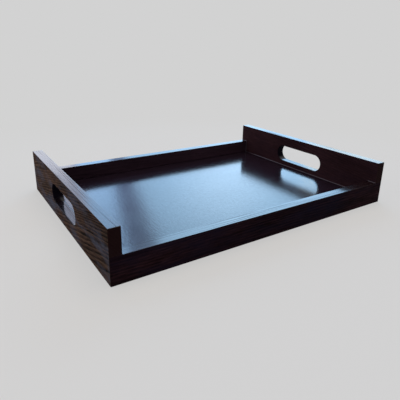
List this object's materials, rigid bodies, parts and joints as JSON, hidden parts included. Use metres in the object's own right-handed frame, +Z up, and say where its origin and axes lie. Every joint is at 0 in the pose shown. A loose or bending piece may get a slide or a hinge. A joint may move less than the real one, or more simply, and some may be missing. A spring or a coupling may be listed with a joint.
{
  "type": "serving tray",
  "caption": "Rectangular wooden serving tray with tall end boards pierced by hand slots, low rails with mitred lower corners and a flat base panel held in grooves.",
  "frame": {"origin": "middle of the tray on the surface that it stands on", "axes": "+X along the tray towards the right end board, +Y from the front rail to the back rail, +Z up"},
  "size_m": [0.4, 0.295, 0.0585],
  "materials": {
    "stained_board": "open-grained wood, dark espresso stain under satin lacquer",
    "stained_panel": "veneered panel, dark espresso stain under glossy satin lacquer",
    "spline_ply": "bare birch plywood, glued"
  },
  "bodies": {
    "root": {"left_end_board": "stained_board", "right_end_board": "stained_board", "front_rail": "stained_board", "back_rail": "stained_board", "base_panel": "stained_panel", "front_left_spline": "spline_ply", "front_right_spline": "spline_ply", "back_left_spline": "spline_ply", "back_right_spline": "spline_ply"}
  },
  "joints": []
}
